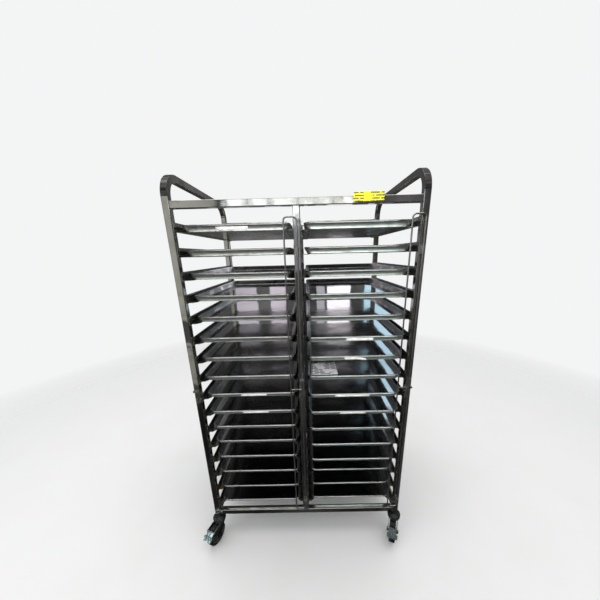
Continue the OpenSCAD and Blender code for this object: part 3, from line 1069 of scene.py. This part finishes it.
STAGE_RADII = (0.001, 0.7, 1.4, 2.2, 3.2, 4.5, 6.0)
STAGE_STEPS = 96
STAGE_FADE = (1.0, 3.6)


def stage_paint():
    """Pale floor paint that turns clear away from the rack, so that the floor fades into the background."""
    shader = Shader("floor_paint", roughness=0.9, specular=0.1)
    distance = shader.nodes.new("ShaderNodeVectorMath")
    distance.operation = "LENGTH"
    shader.links.new(shader.place, distance.inputs[0])
    fade = shader.span(distance.outputs["Value"], *STAGE_FADE, 1, 0)
    shader.feed(shader.principled.inputs["Alpha"], fade)
    cloud = shader.span(shader.noise(3), 0.3, 0.7)
    tint = shader.blend(cloud, (0.84, 0.84, 0.83), (0.86, 0.86, 0.86))
    return shader.finish(tint, None, shader.bump(shader.noise(300), 0.2))


def build_floor():
    """A plain pale disc."""
    rings = [circle(Vector(), X_AXIS, Y_AXIS, radius, STAGE_STEPS) for radius in STAGE_RADII]
    solid = Solid()
    solid.loft(rings, capped=False)
    mesh = bpy.data.meshes.new("floor")
    mesh.from_pydata([tuple(v) for v in solid.vertices], [], solid.faces)
    floor = bpy.data.objects.new("floor", mesh)
    bpy.context.scene.collection.objects.link(floor)
    mesh.materials.append(stage_paint())
    floor.visible_glossy = False


def soft_light(name, place, aim, size, radiance, colour, only=None):
    """A soft panel of a width and height, given by its face's brightness, for a group of pieces or all."""
    width, height = size
    data = bpy.data.lights.new(name, "AREA")
    data.shape = "RECTANGLE"
    data.size = width
    data.size_y = height
    data.energy = radiance * math.pi * width * height
    data.color = colour
    light = bpy.data.objects.new(name, data)
    bpy.context.scene.collection.objects.link(light)
    light.location = place
    light.rotation_euler = (Vector(aim) - Vector(place)).to_track_quat("-Z", "Y").to_euler()
    light.visible_camera = False
    if only is not None:
        light.light_linking.receiver_collection = only


def lit_group(name, pieces):
    """Pieces that some lights are kept for."""
    group = bpy.data.collections.new(name)
    for piece in pieces:
        group.objects.link(piece)
    return group


# Brightness of the studio in mirrored light by height of view: sine of the elevation, then the colour
STUDIO = (
    (-1.00, (0.020, 0.020, 0.020)),
    (-0.40, (0.022, 0.022, 0.022)),
    (-0.15, (0.040, 0.040, 0.038)),
    (0.00, (0.070, 0.070, 0.068)),
    (0.20, (0.055, 0.055, 0.056)),
    (0.80, (0.080, 0.080, 0.082)),
    (0.95, (0.20, 0.20, 0.20)),
    (1.00, (0.30, 0.30, 0.30)),
)
# Noise that makes the studio uneven: from and to of the noise, and the brightness it stands for
CLUTTER = (0.40, 0.68, 0.5, 3.2)
CLUTTER_SCALE = 4
BACKGROUND = (0.90, 0.905, 0.91, 1)


def studio_colour(nodes, links, direction):
    """The studio's colour by the height of a view direction."""
    split = nodes.new("ShaderNodeSeparateXYZ")
    links.new(direction, split.inputs["Vector"])
    height = nodes.new("ShaderNodeMapRange")
    height.inputs["From Min"].default_value = -1
    links.new(split.outputs["Z"], height.inputs["Value"])
    ramp = nodes.new("ShaderNodeValToRGB")
    links.new(height.outputs["Result"], ramp.inputs["Fac"])
    stops = ramp.color_ramp.elements
    while len(stops) < len(STUDIO):
        stops.new(0.5)
    for stop, (sine, colour) in zip(stops, STUDIO):
        stop.position = (sine + 1) / 2
        stop.color = (*colour, 1)
    return ramp.outputs["Color"]


def studio_strength(nodes, links, direction):
    """How bright the studio is in a view direction, uneven as a room full of things is."""
    clutter = nodes.new("ShaderNodeTexNoise")
    clutter.inputs["Scale"].default_value = CLUTTER_SCALE
    clutter.inputs["Detail"].default_value = 4
    links.new(direction, clutter.inputs["Vector"])
    uneven = nodes.new("ShaderNodeMapRange")
    links.new(clutter.outputs["Fac"], uneven.inputs["Value"])
    set_range(uneven, CLUTTER)
    return uneven.outputs["Result"]


def build_world():
    """Mirrored rays see the dim studio; the camera and matt surfaces see the plain pale background."""
    world = bpy.data.worlds.new("studio")
    bpy.context.scene.world = world
    world.use_nodes = True
    nodes, links = world.node_tree.nodes, world.node_tree.links
    direction = nodes.new("ShaderNodeTexCoord").outputs["Generated"]
    studio = nodes["Background"]
    links.new(studio_colour(nodes, links, direction), studio.inputs["Color"])
    links.new(studio_strength(nodes, links, direction), studio.inputs["Strength"])
    plain = nodes.new("ShaderNodeBackground")
    plain.inputs["Color"].default_value = BACKGROUND
    path = nodes.new("ShaderNodeLightPath")
    seen = nodes.new("ShaderNodeMath")
    seen.operation = "MAXIMUM"
    links.new(path.outputs["Is Camera Ray"], seen.inputs[0])
    links.new(path.outputs["Is Diffuse Ray"], seen.inputs[1])
    mix = nodes.new("ShaderNodeMixShader")
    links.new(seen.outputs["Value"], mix.inputs["Fac"])
    links.new(studio.outputs["Background"], mix.inputs[1])
    links.new(plain.outputs["Background"], mix.inputs[2])
    links.new(mix.outputs["Shader"], nodes["World Output"].inputs["Surface"])


# Panes of the windows behind the rack, which the pans' floors mirror: across, width, radiance, colour
REAR_PANES = (
    (-1.22, 0.48, 0.55, (0.97, 0.89, 1.0)),
    (-0.556, 0.32, 0.65, (0.98, 0.88, 1.0)),
    (0.28, 0.17, 0.5, (0.93, 0.92, 1.0)),
    (0.64, 0.46, 1.4, (0.98, 0.93, 1.0)),
)
REAR_WALL = 3.6
# The panes themselves and their gleam on the floor: middle's height, height, and share of the radiance
REAR_BANDS = {"rear_pane": (1.95, 0.9, 1.0), "rear_gleam": (0.3, 1.4, 0.6)}
# Panes of the window behind the camera, which the top bar mirrors: across and width
FRONT_PANES = ((-1.17, 0.34), (-0.77, 0.30), (-0.35, 0.40), (0.05, 0.26), (0.35, 0.22), (0.71, 0.30))
FRONT_WALL = -4.0
WHITE = (1.0, 1.0, 1.0)
PANE_WHITE = (0.95, 1.0, 0.99)
BLUE = (0.55, 0.82, 0.98)
LILAC = (0.84, 0.84, 1.0)
TEAL = (0.86, 1.0, 1.0)
# The floor just ahead of the rack, which the pans' front walls mirror: name, across, radiance, colour
LIT_FLOORS = (
    ("floor_ahead_left", -0.5, 5.0, (1.0, 0.98, 0.97)),
    ("floor_ahead_right", 0.5, 6.5, (0.90, 1.0, 0.97)),
)
# Pieces that the light from above and from the left leaves out, as if something stood over them
SHADED = ("left_hoop", "right_hoop", "front_right_pedal", "front_right_pedal_ribs")


def build_pane_lights(pans):
    """The windows and the blue wall behind the rack, and the window behind the camera."""
    for k, (across, width, radiance, colour) in enumerate(REAR_PANES):
        for band, (z, height, share) in REAR_BANDS.items():
            place = (across, REAR_WALL, z)
            soft_light(f"{band}_{k}", place, (across, 0, z), (width, height), share * radiance, colour, pans)
    soft_light("blue_wall", (1.13, 2.3, 2.0), (1.13, 0, 2.0), (0.56, 1.16), 1.0, BLUE, pans)
    for k, (across, width) in enumerate(FRONT_PANES):
        place = (across, FRONT_WALL, 2.3)
        soft_light(f"front_pane_{k}", place, (across * 0.3, 0, 1.6), (width, 0.6), 1.8, PANE_WHITE)


def build_lights():
    """The soft studio light, most of it as panels that the steel mirrors."""
    pans = lit_group("pans", [bpy.data.objects[pan + "_shell"] for pan in PANS])
    papers = lit_group("papers", [obj for obj in bpy.data.objects if obj.name.endswith(("_label", "_paper"))])
    open_to_sky = lit_group("open_to_sky", [obj for obj in bpy.data.objects if obj.name not in SHADED])
    build_pane_lights(pans)
    soft_light("front_middle", (-0.05, -3.4, 1.6), (0, 0, 1.3), (0.5, 1.0), 0.25, LILAC)
    soft_light("front_left", (-2.0, -3.3, 1.45), (-0.3, 0, 1.2), (1.3, 2.1), 0.42, (1.0, 1.0, 0.90))
    soft_light("floor_left", (-1.5, -2.5, 0.02), (-1.5, -2.5, 3), (1.0, 1.2), 0.32, (1.0, 1.0, 0.88))
    for name, x, radiance, colour in LIT_FLOORS:
        soft_light(name, (x, -1.5, 0.02), (x, -1.5, 3), (0.95, 1.0), radiance, colour, pans)
    soft_light("left_key", (-2.45, -1.41, 2.06), (-0.4, -0.3, 0.3), (1.0, 0.8), 1.4, TEAL, open_to_sky)
    soft_light("paper_key", (0.2, -2.3, 2.4), (0.1, -0.2, 1.1), (1.4, 0.8), 5.0, WHITE, papers)
    soft_light("sheet_key", (0.1, -1.5, 1.45), (0.1, -0.2, 0.89), (0.8, 0.3), 14.0, WHITE, papers)
    soft_light("overhead", (0, -0.2, 3.6), (0, 0, 0.8), (3.0, 2.2), 2.0, (1.0, 0.99, 0.96), open_to_sky)


def aim_camera(place, yaw, pitch, roll, lens, shift):
    """A camera looking along +Y when its angles are 0; yaw turns it right, pitch down, roll left."""
    data = bpy.data.cameras.new("camera")
    data.sensor_width = 36
    data.lens = lens
    camera = bpy.data.objects.new("camera", data)
    bpy.context.scene.collection.objects.link(camera)
    yaw, pitch, roll = (math.radians(angle) for angle in (yaw, pitch, roll))
    forward = Vector((math.sin(yaw) * math.cos(pitch), math.cos(yaw) * math.cos(pitch), -math.sin(pitch)))
    right = Vector((math.cos(yaw), -math.sin(yaw), 0))
    up = right.cross(forward)
    turned_right = math.cos(roll) * right + math.sin(roll) * up
    turned_up = math.cos(roll) * up - math.sin(roll) * right
    axes = Matrix((turned_right, turned_up, -forward)).transposed().to_4x4()
    camera.matrix_world = Matrix.Translation(place) @ axes
    data.shift_x, data.shift_y = shift
    data.clip_start = 0.02
    bpy.context.scene.camera = camera


build_floor()
build_world()
build_lights()
aim_camera((0.0345, -1.2417, 1.4), yaw=-0.43, pitch=16.39, roll=-1.44, lens=14.69, shift=(-0.0118, 0.0447))
bpy.context.scene.view_settings.view_transform = "Standard"
